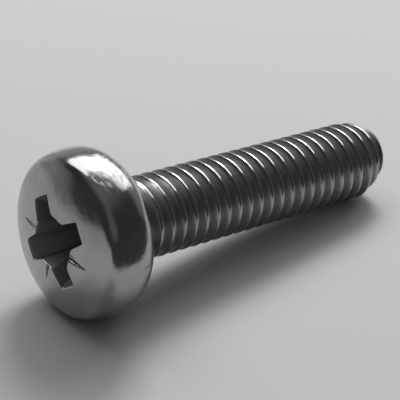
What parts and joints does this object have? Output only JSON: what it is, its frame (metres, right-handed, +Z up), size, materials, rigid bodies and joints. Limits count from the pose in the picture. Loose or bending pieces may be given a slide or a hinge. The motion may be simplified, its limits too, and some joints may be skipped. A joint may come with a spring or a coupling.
{
  "type": "machine screw",
  "caption": "Pan-head machine screw, modelled as M3 x 12, with a four-wing cross recess and fine grooves between the wings; bright steel, lying on its side.",
  "frame": {"origin": "middle of the bearing face under the head, on the screw's axis", "axes": "+X from the head towards the tip, level with the surface that the screw lies on; +Z up; the screw's own axis dips 6.8 degrees below +X, because it lies on the head's rim and the thread's end"},
  "size_m": [0.0146, 0.0058, 0.0058],
  "materials": {
    "steel": "bright, slightly worn steel with fine scratches"
  },
  "bodies": {
    "root": {"screw": "steel"}
  },
  "joints": []
}
